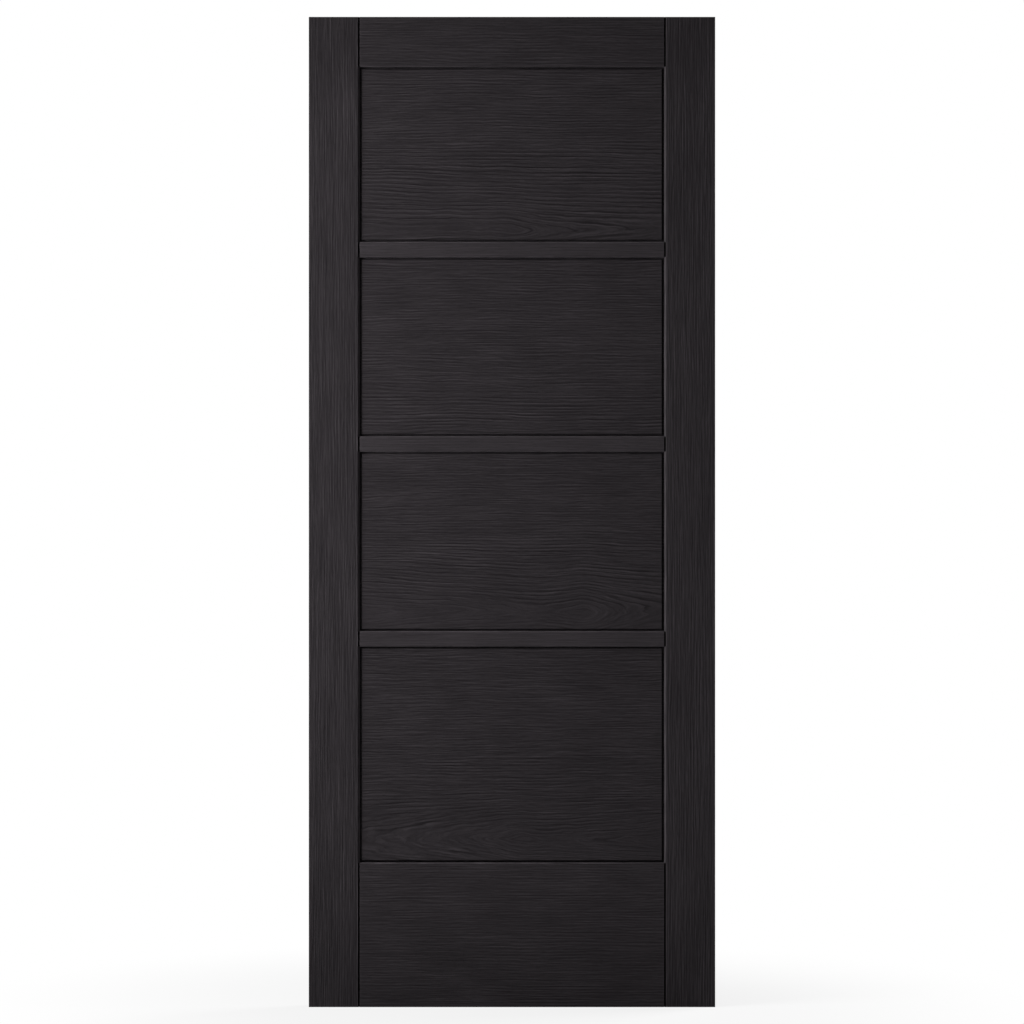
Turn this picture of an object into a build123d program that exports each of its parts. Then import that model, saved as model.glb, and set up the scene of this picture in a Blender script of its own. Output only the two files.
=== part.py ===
from build123d import *
import os

# Four-panel interior door leaf: a dowelled frame of stiles and rails that holds four rebated panels
# Millimetres, with X across the leaf, Y through its thickness and Z up
# The origin is the middle of the leaf's bottom edge, and the front face looks towards -Y

# Leaf
leaf_width = 813.0
leaf_height = 1981.0
leaf_thickness = 35.0
outer_arris = 1.0

# Stiles
stile_width = 102.0
stile_chamfer = 4.0

# Rails, with a stub tenon at each end
top_rail_height = 100.0
mid_rail_height = 31.0
bottom_rail_height = 289.0
rail_chamfer = 2.0
shoulder_chamfer = 0.4
tenon_end_gap = 0.5

# Openings for the panels, where the bottom one takes what is left of the height
top_opening_height = 350.0
upper_opening_height = 358.0
lower_opening_height = 359.0

# Panels, each a raised field with a tongue all round
panel_thickness = 25.0
panel_arris = 1.5
shadow_gap = 3.5  # open line between the field and the frame
tongue_thickness = 12.0
side_expansion = 1.0  # room for the tongue to swell at each side
top_expansion = 2.0  # room above the tongue, which stands on the groove below it

# Groove along every edge that faces a panel
groove_depth = 8.0
groove_clearance = 0.2  # each side of a tongue or a tenon

# Fluted dowels, with slim ones in the mid rails
dowel_diameter = 10.0
dowel_length = 100.0
slim_dowel_diameter = 8.0
slim_dowel_length = 60.0
dowel_chamfer = 1.0
dowel_clearance = 0.1  # all round in the hole
dowel_end_gap = 1.0
flute_depth = 0.6
flute_count = 8

# Heights of the dowels, as shares of the solid wood between a rail's grooves and edges
top_dowel_shares = (0.28, 0.72)
mid_dowel_shares = (0.5,)
bottom_dowel_shares = (0.16, 0.5, 0.84)

overrun = 5.0  # how far a cut runs past the wood

# Sizes and heights that follow from the values above
rail_length = leaf_width - 2 * stile_width  # from shoulder to shoulder
tenon_length = groove_depth - tenon_end_gap
groove_width = tongue_thickness + 2 * groove_clearance

lower_opening_top = (
    leaf_height - top_rail_height - top_opening_height - upper_opening_height - 2 * mid_rail_height
)
centre_mid_rail_base = lower_opening_top
upper_mid_rail_base = centre_mid_rail_base + mid_rail_height + upper_opening_height
lower_mid_rail_base = centre_mid_rail_base - lower_opening_height - mid_rail_height
top_rail_base = leaf_height - top_rail_height


# Heights of the dowels in one rail
def dowel_heights(base, height, shares, groove_above, groove_below):
    solid_base = base + (groove_depth if groove_below else 0)
    solid_top = base + height - (groove_depth if groove_above else 0)
    return [solid_base + share * (solid_top - solid_base) for share in shares]


top_dowels = dowel_heights(top_rail_base, top_rail_height, top_dowel_shares, False, True)
upper_dowels = dowel_heights(upper_mid_rail_base, mid_rail_height, mid_dowel_shares, True, True)
centre_dowels = dowel_heights(centre_mid_rail_base, mid_rail_height, mid_dowel_shares, True, True)
lower_dowels = dowel_heights(lower_mid_rail_base, mid_rail_height, mid_dowel_shares, True, True)
bottom_dowels = dowel_heights(0, bottom_rail_height, bottom_dowel_shares, True, False)


# Planes that face along X where a stile meets a rail, one for each dowel
def joint_planes(side, heights):
    joint = side * rail_length / 2
    return [Plane(origin=(joint, 0, height), z_dir=(1, 0, 0)) for height in heights]


# Bores for dowels of one size, sunk from the joint into the wood on either side of it
def bore(side, heights, diameter, length):
    with Locations(*joint_planes(side, heights)):
        Hole(radius=diameter / 2 + dowel_clearance, depth=length / 2 + dowel_end_gap)


# Left stile: eased along the outer edge, chamfered and grooved along the inner one
def make_left_stile():
    inner_edge = -rail_length / 2
    with BuildPart() as stile:
        with BuildSketch(Plane.XY) as section:
            with Locations((inner_edge, 0)):
                Rectangle(stile_width, leaf_thickness, align=(Align.MAX, Align.CENTER))
            inner_corners = section.vertices().group_by(Axis.X)[-1]
            chamfer(inner_corners, stile_chamfer)
            outer_corners = section.vertices().group_by(Axis.X)[0]
            chamfer(outer_corners, outer_arris)
            with Locations((inner_edge - groove_depth, 0)):
                Rectangle(
                    groove_depth + overrun,
                    groove_width,
                    align=(Align.MIN, Align.CENTER),
                    mode=Mode.SUBTRACT,
                )
        extrude(amount=leaf_height)
        ends = stile.edges().filter_by(Axis.X).group_by(Axis.Z)
        for end in (ends[0], ends[-1]):
            across = end.sort_by(Axis.Y)
            chamfer([across[0], across[-1]], outer_arris)
        bore(-1, top_dowels + bottom_dowels, dowel_diameter, dowel_length)
        bore(-1, upper_dowels + centre_dowels + lower_dowels, slim_dowel_diameter, slim_dowel_length)
    return stile.part


# Right-hand twin of a left-hand piece
def make_right_twin(left_piece):
    with BuildPart() as twin:
        mirror(left_piece, about=Plane.YZ)
    return twin.part


# Rail between the stiles, with a groove, and a wider chamfer, on each edge that faces a panel
def make_rail(base, height, groove_above, groove_below, heights, diameter, length):
    with BuildPart() as rail:
        with BuildSketch(Plane.YZ) as section:
            with Locations((0, base)):
                Rectangle(leaf_thickness, height, align=(Align.CENTER, Align.MIN))
            upper_corners = section.vertices().group_by(Axis.Y)[-1]
            chamfer(upper_corners, rail_chamfer if groove_above else outer_arris)
            lower_corners = section.vertices().group_by(Axis.Y)[0]
            chamfer(lower_corners, rail_chamfer if groove_below else outer_arris)
        extrude(amount=rail_length / 2, both=True)
        shoulders = rail.edges().filter_by(Axis.Z).group_by(Axis.X)
        chamfer(shoulders[0] + shoulders[-1], shoulder_chamfer)
        with BuildSketch(Plane.YZ):
            with Locations((0, base)):
                Rectangle(tongue_thickness, height, align=(Align.CENTER, Align.MIN))
        extrude(amount=rail_length / 2 + tenon_length, both=True)
        with BuildSketch(Plane.YZ):
            if groove_above:
                with Locations((0, base + height - groove_depth)):
                    Rectangle(groove_width, groove_depth + overrun, align=(Align.CENTER, Align.MIN))
            if groove_below:
                with Locations((0, base + groove_depth)):
                    Rectangle(groove_width, groove_depth + overrun, align=(Align.CENTER, Align.MAX))
        extrude(amount=rail_length / 2 + tenon_length + overrun, both=True, mode=Mode.SUBTRACT)
        bore(-1, heights, diameter, length)
        bore(1, heights, diameter, length)
    return rail.part


# Mid rail, grooved above and below
def make_mid_rail(base, heights):
    return make_rail(base, mid_rail_height, True, True, heights, slim_dowel_diameter, slim_dowel_length)


# Panel for the opening between two rails: the field first, then the tongue that runs round it
def make_panel(opening_base, opening_top):
    with BuildPart() as panel:
        with BuildSketch(Plane.XZ):
            with Locations((0, opening_base + shadow_gap)):
                Rectangle(
                    rail_length - 2 * shadow_gap,
                    opening_top - opening_base - 2 * shadow_gap,
                    align=(Align.CENTER, Align.MIN),
                )
        extrude(amount=panel_thickness / 2, both=True)
        chamfer(panel.faces().filter_by(Axis.Y).edges(), panel_arris)
        with BuildSketch(Plane.XZ):
            with Locations((0, opening_base - groove_depth)):
                Rectangle(
                    rail_length + 2 * (groove_depth - side_expansion),
                    opening_top - opening_base + 2 * groove_depth - top_expansion,
                    align=(Align.CENTER, Align.MIN),
                )
        extrude(amount=tongue_thickness / 2, both=True)
    return panel.part


# One fluted dowel along X, centred on the origin: a chamfered many-sided rod with a notch for each flute
def make_dowel(diameter, length):
    with BuildPart() as dowel:
        with BuildSketch(Plane.YZ):
            RegularPolygon(diameter / 2, side_count=2 * flute_count)
        extrude(amount=length / 2, both=True)
        chamfer(dowel.faces().filter_by(Axis.X).edges(), dowel_chamfer)
        with BuildSketch(Plane.YZ):
            with PolarLocations(diameter / 2, flute_count):
                RegularPolygon(flute_depth, side_count=4)
        extrude(amount=length / 2 + overrun, both=True, mode=Mode.SUBTRACT)
    return dowel.part


# The dowels of one joint, as a group of separate solids
def make_dowel_group(side, heights, dowel):
    joint = side * rail_length / 2
    with BuildPart() as group:
        with Locations(*[(joint, 0, height) for height in heights]):
            add(dowel)
    return group.part


# Stiles
pieces = {}
pieces["left_stile"] = make_left_stile()
pieces["right_stile"] = make_right_twin(pieces["left_stile"])

# Rails
pieces["top_rail"] = make_rail(
    top_rail_base, top_rail_height, False, True, top_dowels, dowel_diameter, dowel_length
)
pieces["upper_mid_rail"] = make_mid_rail(upper_mid_rail_base, upper_dowels)
pieces["centre_mid_rail"] = make_mid_rail(centre_mid_rail_base, centre_dowels)
pieces["lower_mid_rail"] = make_mid_rail(lower_mid_rail_base, lower_dowels)
pieces["bottom_rail"] = make_rail(
    0, bottom_rail_height, True, False, bottom_dowels, dowel_diameter, dowel_length
)

# Panels
pieces["top_panel"] = make_panel(upper_mid_rail_base + mid_rail_height, top_rail_base)
pieces["upper_panel"] = make_panel(centre_mid_rail_base + mid_rail_height, upper_mid_rail_base)
pieces["lower_panel"] = make_panel(lower_mid_rail_base + mid_rail_height, centre_mid_rail_base)
pieces["bottom_panel"] = make_panel(bottom_rail_height, lower_mid_rail_base)

# Dowels
full_dowel = make_dowel(dowel_diameter, dowel_length)
slim_dowel = make_dowel(slim_dowel_diameter, slim_dowel_length)
for side_name, side in (("left", -1), ("right", 1)):
    pieces[f"top_rail_{side_name}_dowels"] = make_dowel_group(side, top_dowels, full_dowel)
    pieces[f"upper_mid_rail_{side_name}_dowel"] = make_dowel_group(side, upper_dowels, slim_dowel)
    pieces[f"centre_mid_rail_{side_name}_dowel"] = make_dowel_group(side, centre_dowels, slim_dowel)
    pieces[f"lower_mid_rail_{side_name}_dowel"] = make_dowel_group(side, lower_dowels, slim_dowel)
    pieces[f"bottom_rail_{side_name}_dowels"] = make_dowel_group(side, bottom_dowels, full_dowel)

# One STEP file for each piece
os.makedirs("parts", exist_ok=True)
for name, piece in pieces.items():
    piece.label = name
    export_step(piece, f"parts/{name}.step")
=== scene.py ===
from math import radians

import bpy
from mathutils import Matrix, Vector


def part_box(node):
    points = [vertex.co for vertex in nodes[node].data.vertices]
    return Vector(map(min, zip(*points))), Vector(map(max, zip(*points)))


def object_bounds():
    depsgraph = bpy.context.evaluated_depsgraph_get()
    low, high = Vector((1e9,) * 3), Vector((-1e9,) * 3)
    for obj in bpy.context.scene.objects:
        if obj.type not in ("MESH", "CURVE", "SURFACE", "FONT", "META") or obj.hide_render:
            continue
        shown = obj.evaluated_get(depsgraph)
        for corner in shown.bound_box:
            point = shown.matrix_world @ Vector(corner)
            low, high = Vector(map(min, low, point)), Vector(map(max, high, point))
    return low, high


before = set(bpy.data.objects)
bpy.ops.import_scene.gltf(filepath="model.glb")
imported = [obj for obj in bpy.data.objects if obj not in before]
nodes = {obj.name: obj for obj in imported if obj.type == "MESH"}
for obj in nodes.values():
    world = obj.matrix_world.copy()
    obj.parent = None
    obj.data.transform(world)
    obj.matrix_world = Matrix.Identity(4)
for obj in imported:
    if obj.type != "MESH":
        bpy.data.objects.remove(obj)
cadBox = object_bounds()  # box of the bare solids
print("door loaded:", len(nodes), "pieces")


# Node helpers

growthBase = 2.718  # base of every curve that swells or dies away


def plug(tree, socket, value):  # links a socket, or sets a plain value
    if isinstance(value, bpy.types.NodeSocket):
        tree.links.new(value, socket)
    else:
        socket.default_value = value


def calc(tree, operation, *values):
    node = tree.nodes.new("ShaderNodeMath")
    node.operation = operation
    for socket, value in zip(node.inputs, values):
        plug(tree, socket, value)
    return node.outputs[0]


def swell(tree, value):  # 1 at 0, dying away below it and growing above it
    return calc(tree, "POWER", growthBase, value)


def fade(tree, value, fromLow, fromHigh, toLow, toHigh):  # smooth step from one level to another
    node = tree.nodes.new("ShaderNodeMapRange")
    node.interpolation_type = "SMOOTHSTEP"
    plug(tree, node.inputs["Value"], value)
    plug(tree, node.inputs["From Min"], fromLow)
    plug(tree, node.inputs["From Max"], fromHigh)
    plug(tree, node.inputs["To Min"], toLow)
    plug(tree, node.inputs["To Max"], toHigh)
    return node.outputs["Result"]


def stretchedNoise(tree, vector, perMetre, detail, roughness=0.5):  # perMetre: along, across, through
    scaled = tree.nodes.new("ShaderNodeVectorMath")
    scaled.operation = "MULTIPLY"
    plug(tree, scaled.inputs[0], vector)
    scaled.inputs[1].default_value = perMetre
    node = tree.nodes.new("ShaderNodeTexNoise")
    node.inputs["Scale"].default_value = 1.0
    node.inputs["Detail"].default_value = detail
    node.inputs["Roughness"].default_value = roughness
    tree.links.new(scaled.outputs[0], node.inputs["Vector"])
    return node.outputs[0]


def newGroup(name, inputs, outputs):
    group = bpy.data.node_groups.new(name, "ShaderNodeTree")
    kinds = {"value": "NodeSocketFloat", "vector": "NodeSocketVector", "colour": "NodeSocketColor"}
    for socketName, kind in inputs:
        group.interface.new_socket(name=socketName, in_out="INPUT", socket_type=kinds[kind])
    for socketName, kind in outputs:
        group.interface.new_socket(name=socketName, in_out="OUTPUT", socket_type=kinds[kind])
    start = group.nodes.new("NodeGroupInput").outputs
    end = group.nodes.new("NodeGroupOutput").inputs
    return group, start, end


def placeGroup(tree, group, values):
    node = tree.nodes.new("ShaderNodeGroup")
    node.node_tree = group
    for socketName, value in values.items():
        plug(tree, node.inputs[socketName], value)
    return node.outputs


# Growth rings cut by the face of a board: arches and eyes near the heart line, straight lines away from it

ringLook = {
    "slowWaves": (2.6, 7.0, 9.0),  # per metre along, across and through the board
    "quickWaves": (14.0, 45.0, 45.0),
    "quickShare": 0.2,
    "waveLevel": 0.6,
    "bendFading": 15.0,  # how fast bends die away from the heart line
    "eyeRounding": 0.3,  # 0 gives an eye with a sharp tip
    "curls": (26.0, 90.0, 60.0),
    "curlLevel": 0.5,
    "depthWave": 0.018,
    "archShape": 1.22,  # 2 gives round arches, 1 gives pointed ones
    "youngRadius": 0.14,  # metres over which the wide young rings give way to narrow ones
    "yearScale": 0.45,  # wide and narrow years
    "yearShift": 0.6,
    "yearFade": (0.0, 0.8),
    "faintYear": 0.55,
    "thinReach": 0.028,  # lines stay thin where the face skims the rings
    "thinnest": 0.4,
    "springWood": (0.03, 0.36),  # shares of one year's growth
    "lateWood": (0.4, 0.8),
    "lastEdge": 0.12,
    "patches": (8.0, 60.0, 12.0),
    "patchFade": (0.35, 0.6),
    "faintPatch": 0.4,
    "pithFade": (0.02, 0.036),
    "faintPith": 0.35,
    "heartReach": 0.02,
    "underFade": (-0.014, 0.01),
    "heartBand": (0.1, 0.22),
}


def makeRingGroup():
    look = ringLook
    group, start, end = newGroup(
        "growthRings",
        [
            ("Vector", "vector"), ("Heart Line", "value"), ("Heart Depth", "value"), ("Lean", "value"),
            ("Eye Place", "value"), ("Eye Spread", "value"), ("Eye Rise", "value"),
            ("Near Spacing", "value"), ("Far Spacing", "value"), ("Waviness", "value"), ("Curl", "value"),
            ("Heart Strength", "value"), ("Under Strength", "value"),
        ],
        [("Line", "value"), ("Ridge", "value"), ("Heart", "value"), ("Flow", "vector")],
    )
    split = group.nodes.new("ShaderNodeSeparateXYZ")
    group.links.new(start["Vector"], split.inputs[0])
    along, across, through = split.outputs

    # distance from the heart line, across a gently waving board
    slowWave = stretchedNoise(group, start["Vector"], look["slowWaves"], 1.0)
    quickWave = stretchedNoise(group, start["Vector"], look["quickWaves"], 1.0)
    wave = calc(group, "SUBTRACT", slowWave, look["waveLevel"])
    wave = calc(group, "MULTIPLY_ADD", quickWave, look["quickShare"], wave)
    wavyAcross = calc(group, "MULTIPLY_ADD", wave, start["Waviness"], across)
    offHeart = calc(group, "SUBTRACT", wavyAcross, start["Heart Line"])
    heartGap = calc(group, "ABSOLUTE", offHeart)
    nearHeart = swell(group, calc(group, "MULTIPLY", heartGap, -look["bendFading"]))

    # depth of the heart, which leans along the board and comes up to the face at the eye
    eyeSteps = calc(group, "SUBTRACT", along, start["Eye Place"])
    eyeSteps = calc(group, "DIVIDE", eyeSteps, start["Eye Spread"])
    eyeReach = calc(group, "SQRT", calc(group, "MULTIPLY_ADD", eyeSteps, eyeSteps, look["eyeRounding"]))
    eyeBell = swell(group, calc(group, "MULTIPLY", eyeReach, -1.0))
    bend = calc(group, "MULTIPLY", start["Lean"], along)
    bend = calc(group, "SUBTRACT", bend, calc(group, "MULTIPLY", eyeBell, start["Eye Rise"]))
    curl = stretchedNoise(group, start["Vector"], look["curls"], 1.0)
    curl = calc(group, "SUBTRACT", curl, look["curlLevel"])
    bend = calc(group, "MULTIPLY_ADD", calc(group, "MULTIPLY", curl, nearHeart), start["Curl"], bend)
    bend = calc(group, "MULTIPLY_ADD", wave, look["depthWave"], bend)
    depth = calc(group, "ADD", start["Heart Depth"], through)
    depth = calc(group, "MULTIPLY_ADD", bend, nearHeart, depth)

    acrossPart = calc(group, "POWER", heartGap, look["archShape"])
    depthPart = calc(group, "POWER", calc(group, "ABSOLUTE", depth), look["archShape"])
    radius = calc(group, "POWER", calc(group, "ADD", acrossPart, depthPart), 1.0 / look["archShape"])

    # rings crowd together with age, from the near spacing at the heart to the far spacing
    nearDensity = calc(group, "DIVIDE", 1.0, start["Near Spacing"])
    farDensity = calc(group, "DIVIDE", 1.0, start["Far Spacing"])
    youth = swell(group, calc(group, "DIVIDE", radius, -look["youngRadius"]))
    youngPart = calc(group, "MULTIPLY", youth, look["youngRadius"])
    rings = calc(group, "MULTIPLY", calc(group, "SUBTRACT", farDensity, nearDensity), youngPart)
    rings = calc(group, "MULTIPLY_ADD", radius, farDensity, rings)
    unevenYears = group.nodes.new("ShaderNodeTexNoise")
    unevenYears.noise_dimensions = "1D"
    unevenYears.inputs["Scale"].default_value = look["yearScale"]
    unevenYears.inputs["Detail"].default_value = 1.0
    group.links.new(rings, unevenYears.inputs["W"])
    rings = calc(group, "MULTIPLY_ADD", unevenYears.outputs[0], look["yearShift"], rings)

    # each year starts with open spring wood and ends with hard late wood
    season = calc(group, "FRACT", rings)
    thin = fade(group, heartGap, 0.0, look["thinReach"], look["thinnest"], 1.0)
    springWood = fade(group, calc(group, "DIVIDE", season, thin), *look["springWood"], 1.0, 0.0)
    yearLeft = calc(group, "SUBTRACT", 1.0, season)
    lastEdge = fade(group, calc(group, "DIVIDE", yearLeft, thin), 0.0, look["lastEdge"], 1.0, 0.0)
    line = calc(group, "MAXIMUM", springWood, lastEdge)
    lateWood = fade(group, season, *look["lateWood"], 0.0, 1.0)
    ridge = calc(group, "MULTIPLY", lateWood, calc(group, "SUBTRACT", 1.0, lastEdge))
    ridge = calc(group, "MULTIPLY", ridge, thin)

    flow = group.nodes.new("ShaderNodeCombineXYZ")
    for socket, value in zip(flow.inputs, (along, radius, offHeart)):
        group.links.new(value, socket)

    # some years, patches and places by the heart are fainter than others
    yearMark = group.nodes.new("ShaderNodeTexWhiteNoise")
    yearMark.noise_dimensions = "1D"
    group.links.new(calc(group, "FLOOR", rings), yearMark.inputs["W"])
    patchy = stretchedNoise(group, flow.outputs[0], look["patches"], 1.0)
    strength = fade(group, yearMark.outputs[0], *look["yearFade"], look["faintYear"], 1.0)
    for share in (
        fade(group, patchy, *look["patchFade"], look["faintPatch"], 1.0),
        fade(group, radius, *look["pithFade"], look["faintPith"], 1.0),
        fade(group, heartGap, 0.0, look["heartReach"], start["Heart Strength"], 1.0),
        fade(group, offHeart, *look["underFade"], start["Under Strength"], 1.0),
    ):
        strength = calc(group, "MULTIPLY", strength, share)

    group.links.new(calc(group, "MULTIPLY", line, strength), end["Line"])
    group.links.new(calc(group, "MULTIPLY", ridge, strength), end["Ridge"])
    group.links.new(fade(group, heartGap, *look["heartBand"], 1.0, 0.0), end["Heart"])
    group.links.new(flow.outputs[0], end["Flow"])
    return group


# Fibres, pores and cloudiness that flow with the rings, calmer close to the heart

fibreLook = {
    "boardSteps": (3.7, 1.3),  # every board comes from another part of the log
    "longLines": (0.7, 400.0, 90.0),  # per fibre length along, per metre across and through
    "shortLines": (2.2, 400.0, 90.0),
    "shortPlace": 0.5,  # short lines are read away from the long ones
    "lineShift": 0.0021,  # the difference of two reads this far apart leaves only thin lines
    "lineGain": 2.0,
    "calmReach": 0.045,
    "pithFade": (0.01, 0.045),
    "calmPith": 0.5,
    "pores": (5.0, 1300.0, 500.0),
    "poreFade": (0.56, 0.7),
    "clouds": (0.6, 26.0, 10.0),
    "cloudLevel": 0.5,
    "cloudGain": 4.0,
}


def makeFibreGroup():
    look = fibreLook
    group, start, end = newGroup(
        "oakFibres",
        [("Flow", "vector"), ("Board", "value"), ("Length", "value"), ("Heart Strength", "value")],
        [("Fine", "value"), ("Pores", "value"), ("Cloud", "value")],
    )
    split = group.nodes.new("ShaderNodeSeparateXYZ")
    group.links.new(start["Flow"], split.inputs[0])
    along, radius, offHeart = split.outputs
    alongStep, radiusStep = look["boardSteps"]

    def readNoise(perMetre, detail, shift=0.0):
        place = group.nodes.new("ShaderNodeCombineXYZ")
        steps = calc(group, "DIVIDE", along, start["Length"])
        shifted = calc(group, "ADD", radius, shift)
        group.links.new(calc(group, "MULTIPLY_ADD", start["Board"], alongStep, steps), place.inputs[0])
        group.links.new(calc(group, "MULTIPLY_ADD", start["Board"], radiusStep, shifted), place.inputs[1])
        group.links.new(offHeart, place.inputs[2])
        return stretchedNoise(group, place.outputs[0], perMetre, detail)

    def thinLines(perMetre, detail, shift):
        here = readNoise(perMetre, detail, shift)
        beside = readNoise(perMetre, detail, shift + look["lineShift"])
        return calc(group, "SUBTRACT", here, beside)

    longLines = thinLines(look["longLines"], 0.0, 0.0)
    shortLines = thinLines(look["shortLines"], 1.0, look["shortPlace"])
    heartGap = calc(group, "ABSOLUTE", offHeart)
    calm = fade(group, heartGap, 0.0, look["calmReach"], start["Heart Strength"], 1.0)
    calm = calc(group, "MULTIPLY", calm, fade(group, radius, *look["pithFade"], look["calmPith"], 1.0))
    lines = calc(group, "MULTIPLY", calc(group, "ADD", longLines, shortLines), calm)
    group.links.new(calc(group, "MULTIPLY", lines, look["lineGain"]), end["Fine"])

    pores = readNoise(look["pores"], 1.0)
    group.links.new(fade(group, pores, *look["poreFade"], 0.0, 1.0), end["Pores"])
    cloud = calc(group, "SUBTRACT", readNoise(look["clouds"], 2.0), look["cloudLevel"])
    group.links.new(calc(group, "MULTIPLY", cloud, look["cloudGain"]), end["Cloud"])
    return group


# Edge value for the eased edges, which lean halfway between face and side: partly wear and partly painted
# highlight where it lightens, painted shade where it darkens

edgeLook = {
    "lean": 0.707,
    "leanFade": (0.12, 0.22),
    "patches": (22.0, 60.0, 60.0),
    "patchRoughness": 0.6,
    "patchFade": (0.3, 0.7),
    "faintPatch": 0.4,
}


def makeEdgeWearAndPaintedLightGroup():
    look = edgeLook
    group, start, end = newGroup("edgeWearAndPaintedLight", [("Vector", "vector")], [("Wear And Painted Light", "value")])
    facing = group.nodes.new("ShaderNodeNewGeometry")
    split = group.nodes.new("ShaderNodeSeparateXYZ")
    group.links.new(facing.outputs["True Normal"], split.inputs[0])
    facingFront = calc(group, "ABSOLUTE", split.outputs[1])
    offLean = calc(group, "ABSOLUTE", calc(group, "SUBTRACT", facingFront, look["lean"]))
    onEdge = fade(group, offLean, *look["leanFade"], 1.0, 0.0)
    patchy = stretchedNoise(group, start["Vector"], look["patches"], 2.0, look["patchRoughness"])
    patchy = fade(group, patchy, *look["patchFade"], look["faintPatch"], 1.0)
    group.links.new(calc(group, "MULTIPLY", onEdge, patchy), end["Wear And Painted Light"])
    return group


# Painted shade in the joints between stiles and rails, and a painted highlight on the arris beside them

jointLook = {
    "paintedJointShade": -3.0,  # painted shade in the joint, where less than 0 is darker
    # painted highlight on the arris beside the joint
    "paintedArrisHighlight": 0.9,
    "paintedShadeWidth": 0.0037,  # metres into the stile
    "paintedHighlightWidth": 0.0056,
    "sideSoftness": 0.0004,
    "endSoftness": 0.0015,
}


def makeJointGroup():
    look = jointLook
    inputs = [("Vector", "vector"), ("Wear And Painted Light", "value")]
    group, start, end = newGroup("jointPaintedShadeAndHighlight", inputs, [("Wear And Painted Light", "value")])
    split = group.nodes.new("ShaderNodeSeparateXYZ")
    group.links.new(start["Vector"], split.inputs[0])
    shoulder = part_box("right_stile")[0].x
    intoStile = calc(group, "SUBTRACT", calc(group, "ABSOLUTE", split.outputs[0]), shoulder)
    atRail = 0.0
    for rail in ("top_rail", "upper_mid_rail", "centre_mid_rail", "lower_mid_rail", "bottom_rail"):
        low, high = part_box(rail)
        half = (high.z - low.z) / 2
        offMiddle = calc(group, "SUBTRACT", split.outputs[2], (low.z + high.z) / 2)
        offMiddle = calc(group, "ABSOLUTE", offMiddle)
        byThisRail = fade(group, offMiddle, half - look["endSoftness"], half, 1.0, 0.0)
        atRail = calc(group, "MAXIMUM", byThisRail, atRail)

    def upTo(width):  # 1 from the shoulder to this width, 0 beyond it
        soft = look["sideSoftness"]
        return fade(group, intoStile, width - soft, width + soft, 1.0, 0.0)

    inJoint = upTo(look["paintedShadeWidth"])
    onArris = calc(group, "SUBTRACT", upTo(look["paintedHighlightWidth"]), inJoint)
    change = calc(group, "MULTIPLY", inJoint, look["paintedJointShade"])
    change = calc(group, "MULTIPLY_ADD", onArris, look["paintedArrisHighlight"], change)
    kept = calc(group, "SUBTRACT", 1.0, calc(group, "MULTIPLY", inJoint, atRail))
    wearAndPaintedLight = calc(group, "MULTIPLY", start["Wear And Painted Light"], kept)
    group.links.new(calc(group, "MULTIPLY_ADD", change, atRail, wearAndPaintedLight), end["Wear And Painted Light"])
    return group


# Darker towards the foot and head of the door; at the foot this is painted shade, where the light falls
# off towards the floor

endDarkening = {
    "foot": -0.42,  # change at the end itself, where less than 0 is darker
    "footReach": 0.36,  # metres up the door
    "head": -0.23,
    "headReach": 0.2,
}


def makeEndDarkeningGroup():
    look = endDarkening
    inputs = [("Vector", "vector"), ("Wear And Painted Light", "value")]
    group, start, end = newGroup("darkerFootAndHead", inputs, [("Wear And Painted Light", "value")])
    split = group.nodes.new("ShaderNodeSeparateXYZ")
    group.links.new(start["Vector"], split.inputs[0])
    height = split.outputs[2]
    foot, head = (corner.z for corner in cadBox)
    atFoot = fade(group, height, foot, foot + look["footReach"], 1.0, 0.0)
    atHead = fade(group, height, head - look["headReach"], head, 0.0, 1.0)
    wearAndPaintedLight = calc(group, "MULTIPLY_ADD", atFoot, look["foot"], start["Wear And Painted Light"])
    group.links.new(calc(group, "MULTIPLY_ADD", atHead, look["head"], wearAndPaintedLight), end["Wear And Painted Light"])
    return group


# Charcoal stain over the grain: dark in spring wood and pores, thin on hard late wood

stainLook = {
    "tint": (1.0, 0.885, 0.973),  # one stain for every board, which takes it up more or less
    "farRings": 0.55,  # rings away from the heart are fainter
    "ridgeShare": 0.45,
    "poreTone": -0.2,
    "roughness": 0.5,
    "lineRoughness": 0.16,
    "poreRoughness": 0.12,
    "fibreRoughness": 0.04,
    "fibreHeight": 0.25,
    "lineHeight": -0.6,
    "poreHeight": -0.8,
}


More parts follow.
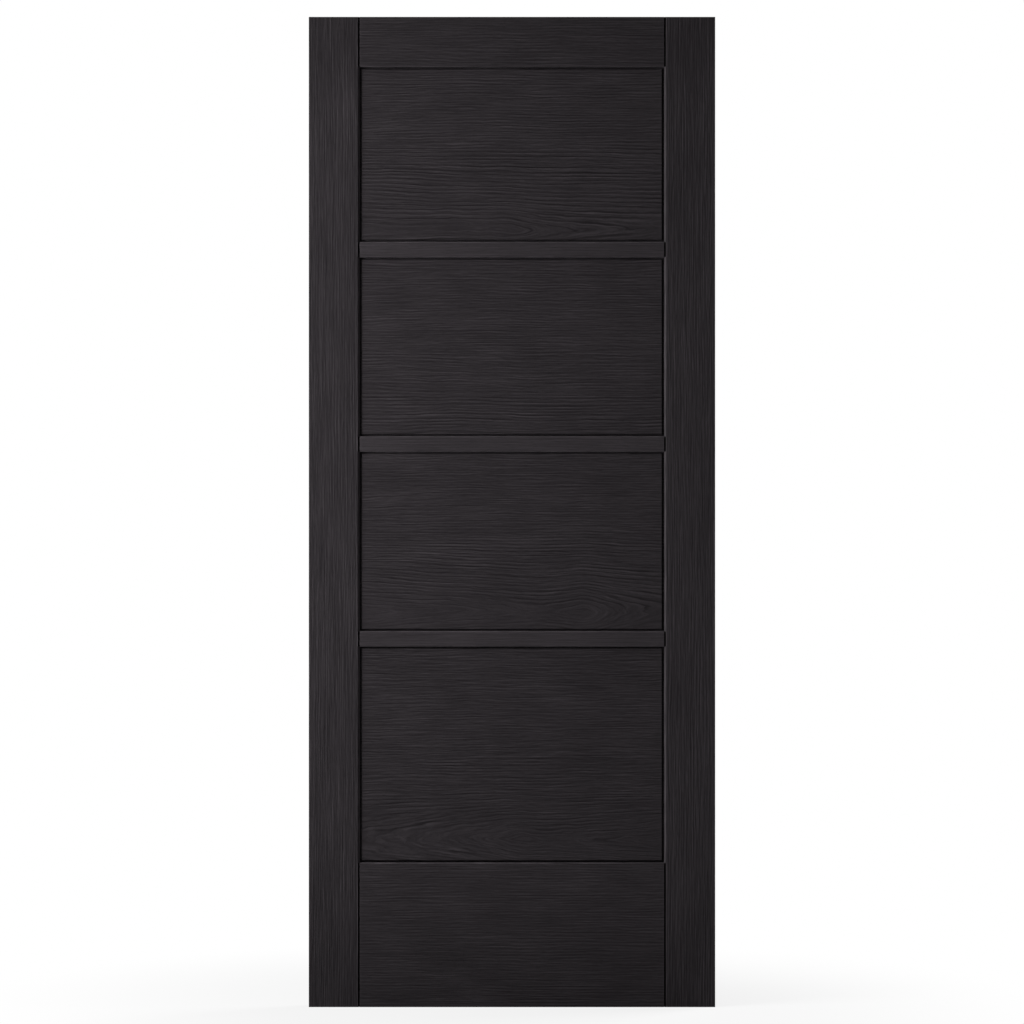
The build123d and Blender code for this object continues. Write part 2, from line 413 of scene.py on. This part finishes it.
def makeStainGroup():
    look = stainLook
    group, start, end = newGroup(
        "charcoalStain",
        [
            ("Stain", "colour"), ("Line", "value"), ("Ridge", "value"), ("Heart", "value"),
            ("Fine", "value"), ("Pores", "value"), ("Cloud", "value"), ("Wear And Painted Light", "value"),
            ("Ring Strength", "value"), ("Fibre Strength", "value"), ("Cloud Strength", "value"),
            ("Edge Tone", "value"),
        ],
        [("Colour", "colour"), ("Roughness", "value"), ("Height", "value")],
    )
    ringShare = fade(group, start["Heart"], 0.0, 1.0, look["farRings"], 1.0)
    ringStrength = calc(group, "MULTIPLY", start["Ring Strength"], ringShare)
    lineDepth = calc(group, "MULTIPLY", start["Line"], ringStrength)
    ridgeStrength = calc(group, "MULTIPLY", ringStrength, look["ridgeShare"])
    tone = calc(group, "MULTIPLY", start["Ridge"], ridgeStrength)
    tone = calc(group, "MULTIPLY_ADD", start["Fine"], start["Fibre Strength"], tone)
    tone = calc(group, "MULTIPLY_ADD", start["Cloud"], start["Cloud Strength"], tone)
    tone = calc(group, "SUBTRACT", tone, lineDepth)
    tone = calc(group, "MULTIPLY_ADD", start["Pores"], look["poreTone"], tone)
    # Edges, joints and ends shift the tone here: partly wear, partly painted highlight and painted shade
    tone = calc(group, "MULTIPLY_ADD", start["Wear And Painted Light"], start["Edge Tone"], tone)

    mix = group.nodes.new("ShaderNodeVectorMath")
    mix.operation = "SCALE"
    group.links.new(start["Stain"], mix.inputs[0])
    group.links.new(swell(group, tone), mix.inputs["Scale"])
    group.links.new(mix.outputs[0], end["Colour"])

    rough = calc(group, "MULTIPLY_ADD", lineDepth, look["lineRoughness"], look["roughness"])
    rough = calc(group, "MULTIPLY_ADD", start["Pores"], look["poreRoughness"], rough)
    rough = calc(group, "MULTIPLY_ADD", start["Fine"], look["fibreRoughness"], rough)
    group.links.new(rough, end["Roughness"])

    height = calc(group, "MULTIPLY", start["Fine"], look["fibreHeight"])
    height = calc(group, "MULTIPLY_ADD", start["Line"], look["lineHeight"], height)
    height = calc(group, "MULTIPLY_ADD", start["Pores"], look["poreHeight"], height)
    group.links.new(height, end["Height"])
    return group


ringGroup = makeRingGroup()
fibreGroup = makeFibreGroup()
edgeGroup = makeEdgeWearAndPaintedLightGroup()
jointGroup = makeJointGroup()
endDarkeningGroup = makeEndDarkeningGroup()
stainGroup = makeStainGroup()
print("grain and stain groups made")


# Stained oak for one board, with its grain laid along the board

oakFinish = {"specular": 0.02, "bumpStrength": 0.5, "bumpDistance": 0.0003}

# Turns that lay the grain's own axes (along, across, through) on the door
grainTurns = {
    "level": (radians(-90), 0.0, 0.0),
    "upright": (radians(90), 0.0, radians(90)),
}


def makeOak(name, piece, look):
    low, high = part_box(piece)
    centre = (low + high) / 2
    material = bpy.data.materials.new(name)
    material.use_nodes = True
    tree = material.node_tree
    tree.nodes.clear()

    place = tree.nodes.new("ShaderNodeTexCoord")
    turn = tree.nodes.new("ShaderNodeMapping")
    turn.inputs["Rotation"].default_value = grainTurns[look["grain"]]
    acrossCentre = centre.z if look["grain"] == "level" else centre.x
    turn.inputs["Location"].default_value = (0.0, -acrossCentre, 0.0)
    tree.links.new(place.outputs["Object"], turn.inputs["Vector"])
    grainSpace = turn.outputs[0]

    rings = placeGroup(tree, ringGroup, {
        "Vector": grainSpace,
        "Heart Line": look["heartLine"],
        "Heart Depth": look["heartDepth"],
        "Lean": look["lean"],
        "Eye Place": look["eyePlace"],
        "Eye Spread": look["eyeSpread"],
        "Eye Rise": look["eyeRise"],
        "Near Spacing": look["nearSpacing"],
        "Far Spacing": look["farSpacing"],
        "Waviness": look["waviness"],
        "Curl": look["curl"],
        "Heart Strength": look["heartStrength"],
        "Under Strength": look["underStrength"],
    })
    fibres = placeGroup(tree, fibreGroup, {
        "Flow": rings["Flow"],
        "Board": look["board"],
        "Length": look["fibreLength"],
        "Heart Strength": look["heartStrength"],
    })
    # Eased edges: on stiles and rails partly wear and partly painted highlight, on panels painted shade
    wearAndPaintedLight = placeGroup(tree, edgeGroup, {"Vector": grainSpace})["Wear And Painted Light"]
    # Painted shade in the joints beside the rails, and a painted highlight on the arris beside them
    if look["takesRails"]:
        wearAndPaintedLight = placeGroup(tree, jointGroup, {"Vector": place.outputs["Object"], "Wear And Painted Light": wearAndPaintedLight})["Wear And Painted Light"]
    # Darker towards the foot and head; at the foot this is painted shade
    if look["darkenedEnds"]:
        wearAndPaintedLight = placeGroup(tree, endDarkeningGroup, {"Vector": place.outputs["Object"], "Wear And Painted Light": wearAndPaintedLight})["Wear And Painted Light"]
    stain = placeGroup(tree, stainGroup, {
        "Stain": (*(look["tone"] * part for part in stainLook["tint"]), 1.0),
        "Line": rings["Line"],
        "Ridge": rings["Ridge"],
        "Heart": rings["Heart"],
        "Fine": fibres["Fine"],
        "Pores": fibres["Pores"],
        "Cloud": fibres["Cloud"],
        "Wear And Painted Light": wearAndPaintedLight,
        "Ring Strength": look["ringStrength"],
        "Fibre Strength": look["fibreStrength"],
        "Cloud Strength": look["cloudStrength"],
        "Edge Tone": look["edgeTone"],
    })

    shader = tree.nodes.new("ShaderNodeBsdfPrincipled")
    shader.inputs["Specular IOR Level"].default_value = oakFinish["specular"]
    tree.links.new(stain["Colour"], shader.inputs["Base Color"])
    tree.links.new(stain["Roughness"], shader.inputs["Roughness"])
    bump = tree.nodes.new("ShaderNodeBump")
    bump.inputs["Strength"].default_value = oakFinish["bumpStrength"]
    bump.inputs["Distance"].default_value = oakFinish["bumpDistance"]
    tree.links.new(stain["Height"], bump.inputs["Height"])
    tree.links.new(bump.outputs[0], shader.inputs["Normal"])
    output = tree.nodes.new("ShaderNodeOutputMaterial")
    tree.links.new(shader.outputs[0], output.inputs["Surface"])

    mesh = nodes[piece].data
    mesh.materials.clear()
    mesh.materials.append(material)


# Boards, in metres. Heart line and eye place are from the middle of the board, across and along the grain

stileBoard = {
    "grain": "upright",
    "takesRails": True,
    "darkenedEnds": True,
    "tone": 0.0220,  # how much light the stained wood gives back
    "heartDepth": 0.06,
    "lean": 0.004,
    "eyePlace": 0.0,
    "eyeSpread": 1.0,
    "eyeRise": 0.0,
    "nearSpacing": 0.012,
    "farSpacing": 0.0045,
    "waviness": 0.009,
    "curl": 0.0,
    "heartStrength": 1.0,
    "underStrength": 1.0,
    "ringStrength": 0.36,
    "fibreStrength": 0.38,
    "fibreLength": 0.08,
    # lightens the eased edges: partly wear, partly painted highlight
    "edgeTone": 0.62,
    "cloudStrength": 0.13,
}
leftStileBoard = {**stileBoard, "heartLine": -0.22, "board": 1}
rightStileBoard = {**stileBoard, "tone": 0.0230, "heartLine": 0.23, "board": 2}
makeOak("leftStileOak", "left_stile", leftStileBoard)
makeOak("rightStileOak", "right_stile", rightStileBoard)
print("stiles stained")

railBoard = {
    "grain": "level",
    "takesRails": False,
    "darkenedEnds": False,
    "tone": 0.0207,
    "heartDepth": 0.06,
    "lean": 0.01,
    "eyePlace": 0.1,
    "eyeSpread": 0.2,
    "eyeRise": 0.0,
    "nearSpacing": 0.0135,
    "farSpacing": 0.0055,
    "waviness": 0.014,
    "curl": 0.0,
    "heartStrength": 1.0,
    "underStrength": 1.0,
    "ringStrength": 0.5,
    "fibreStrength": 0.28,
    "fibreLength": 0.058,
    # lightens the eased edges: partly wear, partly painted highlight
    "edgeTone": 0.62,
    "cloudStrength": 0.13,
}
topRailBoard = {**railBoard, "heartLine": -0.2, "board": 5}
bottomRailBoard = {**railBoard, "darkenedEnds": True, "tone": 0.0234, "heartLine": -0.3, "board": 6}
makeOak("topRailOak", "top_rail", topRailBoard)
makeOak("bottomRailOak", "bottom_rail", bottomRailBoard)
print("top and bottom rails stained")

midRailBoard = {
    **railBoard,
    "tone": 0.0284,
    "heartLine": 0.3,
    "ringStrength": 0.04,
    "fibreStrength": 0.16,
    "fibreLength": 0.09,
}
midRailBoardNumbers = {"upper": 7, "centre": 8, "lower": 9}
for height, board in midRailBoardNumbers.items():
    makeOak(f"{height}MidRailOak", f"{height}_mid_rail", {**midRailBoard, "board": board})
print("mid rails stained")

panelBoard = {
    **railBoard,
    "tone": 0.0225,
    "heartDepth": 0.022,
    "lean": 0.0,
    "waviness": 0.02,
    "curl": 0.007,
    "ringStrength": 0.6,
    "fibreStrength": 0.31,
    # darkens the panel edges: painted shade beside the recess
    "edgeTone": -0.5,
}
topPanelBoard = {
    **panelBoard,
    "heartLine": -0.149,
    "lean": 0.06,
    "eyePlace": 0.0,
    "eyeSpread": 0.05,
    "eyeRise": 0.022,
    "underStrength": 0.7,
    "ringStrength": 0.68,
    "board": 10,
}
upperPanelBoard = {**panelBoard, "heartLine": -0.26, "board": 11}
lowerPanelBoard = {
    **panelBoard,
    "heartLine": -0.139,
    "heartDepth": 0.043,
    "lean": 0.1,
    "eyePlace": 0.145,
    "eyeSpread": 0.045,
    "eyeRise": 0.042,
    "farSpacing": 0.0045,
    "heartStrength": 0.55,
    "underStrength": 0.3,
    "ringStrength": 0.58,
    "board": 12,
}
bottomPanelBoard = {
    **panelBoard,
    "tone": 0.0214,
    "heartLine": -0.169,
    "heartDepth": 0.052,
    "lean": -0.12,
    "eyePlace": 0.014,
    "eyeSpread": 0.05,
    "eyeRise": 0.028,
    "farSpacing": 0.0045,
    "curl": 0.01,
    "heartStrength": 0.6,
    "underStrength": 0.6,
    "ringStrength": 0.4,
    "fibreStrength": 0.34,
    "board": 13,
}
makeOak("topPanelOak", "top_panel", topPanelBoard)
makeOak("upperPanelOak", "upper_panel", upperPanelBoard)
makeOak("lowerPanelOak", "lower_panel", lowerPanelBoard)
makeOak("bottomPanelOak", "bottom_panel", bottomPanelBoard)
print("panels stained")


# Bare beech for the hidden dowels

dowelBeech = {
    "pale": (0.62, 0.45, 0.28),
    "fleck": (0.4, 0.26, 0.14),
    "flecks": (90.0, 1400.0, 1400.0),  # per metre along, across and through the dowel
    "fleckRoughness": 0.6,
    "fleckFade": (0.42, 0.72),
    "roughness": 0.6,
    "bumpStrength": 0.3,
    "bumpDistance": 0.0002,
}


def makeBeech():
    look = dowelBeech
    material = bpy.data.materials.new("dowelBeech")
    material.use_nodes = True
    tree = material.node_tree
    shader = tree.nodes["Principled BSDF"]
    place = tree.nodes.new("ShaderNodeTexCoord")
    flecks = stretchedNoise(tree, place.outputs["Object"], look["flecks"], 2.0, look["fleckRoughness"])
    mix = tree.nodes.new("ShaderNodeMix")
    mix.data_type = "RGBA"
    mix.inputs["A"].default_value = (*look["pale"], 1.0)
    mix.inputs["B"].default_value = (*look["fleck"], 1.0)
    tree.links.new(fade(tree, flecks, *look["fleckFade"], 0.0, 1.0), mix.inputs["Factor"])
    tree.links.new(mix.outputs["Result"], shader.inputs["Base Color"])
    shader.inputs["Roughness"].default_value = look["roughness"]
    bump = tree.nodes.new("ShaderNodeBump")
    bump.inputs["Strength"].default_value = look["bumpStrength"]
    bump.inputs["Distance"].default_value = look["bumpDistance"]
    tree.links.new(flecks, bump.inputs["Height"])
    tree.links.new(bump.outputs[0], shader.inputs["Normal"])
    return material


beech = makeBeech()
for name, node in nodes.items():
    if "dowel" in name:
        node.data.materials.clear()
        node.data.materials.append(beech)
print("dowels done")


# 1 for rays that show floor and surround, 0 for rays that carry their light to the door

def seenByEye(tree):
    rays = tree.nodes.new("ShaderNodeLightPath")
    seen = calc(tree, "MAXIMUM", rays.outputs["Is Camera Ray"], rays.outputs["Is Glossy Ray"])
    return calc(tree, "MAXIMUM", seen, rays.outputs["Is Transmission Ray"])


# Pale floor that melts into the white surround

studioFloor = {"size": 14.0, "colour": (0.45, 0.45, 0.45), "lift": 0.8, "fade": (0.45, 1.2)}


def makeFloor():
    bpy.ops.object.select_all(action="DESELECT")
    bpy.ops.mesh.primitive_plane_add(size=studioFloor["size"], location=(0.0, 0.0, 0.0))
    floor = bpy.context.object
    floor.name = "studioFloor"
    material = bpy.data.materials.new("studioFloorWhite")
    material.use_nodes = True
    tree = material.node_tree
    tree.nodes.clear()
    place = tree.nodes.new("ShaderNodeTexCoord")
    length = tree.nodes.new("ShaderNodeVectorMath")
    length.operation = "LENGTH"
    tree.links.new(place.outputs["Object"], length.inputs[0])
    away = fade(tree, length.outputs["Value"], *studioFloor["fade"], studioFloor["lift"], 1.0)
    matt = tree.nodes.new("ShaderNodeBsdfDiffuse")
    matt.inputs["Color"].default_value = (*studioFloor["colour"], 1.0)
    white = tree.nodes.new("ShaderNodeEmission")
    mix = tree.nodes.new("ShaderNodeMixShader")
    tree.links.new(calc(tree, "MULTIPLY", away, seenByEye(tree)), mix.inputs["Fac"])
    tree.links.new(matt.outputs[0], mix.inputs[1])
    tree.links.new(white.outputs[0], mix.inputs[2])
    output = tree.nodes.new("ShaderNodeOutputMaterial")
    tree.links.new(mix.outputs[0], output.inputs["Surface"])
    floor.data.materials.append(material)


makeFloor()
print("floor laid")


# White surround for the eye, dim grey as a source of light

surround = {"ambient": (0.04, 0.04, 0.04), "seen": (1.0, 1.0, 1.0)}


def makeSurround():
    world = bpy.data.worlds.new("whiteStudio")
    bpy.context.scene.world = world
    world.use_nodes = True
    tree = world.node_tree
    tree.nodes.clear()
    mix = tree.nodes.new("ShaderNodeMix")
    mix.data_type = "RGBA"
    tree.links.new(seenByEye(tree), mix.inputs["Factor"])
    mix.inputs["A"].default_value = (*surround["ambient"], 1.0)
    mix.inputs["B"].default_value = (*surround["seen"], 1.0)
    back = tree.nodes.new("ShaderNodeBackground")
    tree.links.new(mix.outputs["Result"], back.inputs["Color"])
    output = tree.nodes.new("ShaderNodeOutputWorld")
    tree.links.new(back.outputs[0], output.inputs["Surface"])


makeSurround()
print("surround set")


# Soft lamps: the key rakes across the face from the left, the others fill and light the back

lamps = {
    "keyLamp": {"place": (-2.1, -1.15, 1.42), "aim": (0.0, 0.0, 1.2), "size": (1.3, 1.3), "watts": 110.0},
    "topLamp": {"place": (-0.3, -0.35, 4.4), "aim": (0.0, 0.0, 1.0), "size": (1.2, 1.2), "watts": 48.0},
    "frontFill": {"place": (-2.6, -2.5, 2.2), "aim": (0.0, 0.0, 1.0), "size": (1.6, 1.6), "watts": 3.0},
    "backKey": {"place": (2.1, 1.15, 1.42), "aim": (0.0, 0.0, 1.2), "size": (1.3, 1.3), "watts": 110.0},
}


def makeLamp(name, lamp):
    data = bpy.data.lights.new(name, "AREA")
    data.shape = "RECTANGLE"
    data.size, data.size_y = lamp["size"]
    data.energy = lamp["watts"]
    item = bpy.data.objects.new(name, data)
    bpy.context.scene.collection.objects.link(item)
    item.location = lamp["place"]
    aim = [goal - start for goal, start in zip(lamp["aim"], lamp["place"])]
    item.rotation_mode = "QUATERNION"
    item.rotation_quaternion = Vector(aim).to_track_quat("-Z", "Y")
    item.visible_camera = False


for lampName, lampValues in lamps.items():
    makeLamp(lampName, lampValues)
print("lamps set")


# Camera square on to the leaf, at half its height

shot = {"lens": 135.0, "sensor": 36.0, "pixels": 1024, "leafPixels": 990.33}


def makeCamera():
    low, high = cadBox
    data = bpy.data.cameras.new("squareOn")
    data.lens = shot["lens"]
    data.sensor_width = shot["sensor"]
    camera = bpy.data.objects.new("squareOn", data)
    bpy.context.scene.collection.objects.link(camera)
    frameWidth = (high.z - low.z) * shot["pixels"] / shot["leafPixels"]  # metres, at the front face
    distance = frameWidth * shot["lens"] / shot["sensor"]
    camera.location = ((low.x + high.x) / 2, low.y - distance, (low.z + high.z) / 2)
    camera.rotation_euler = (radians(90), 0.0, 0.0)
    bpy.context.scene.camera = camera


makeCamera()
bpy.context.scene.view_settings.view_transform = "Standard"
print("camera set")
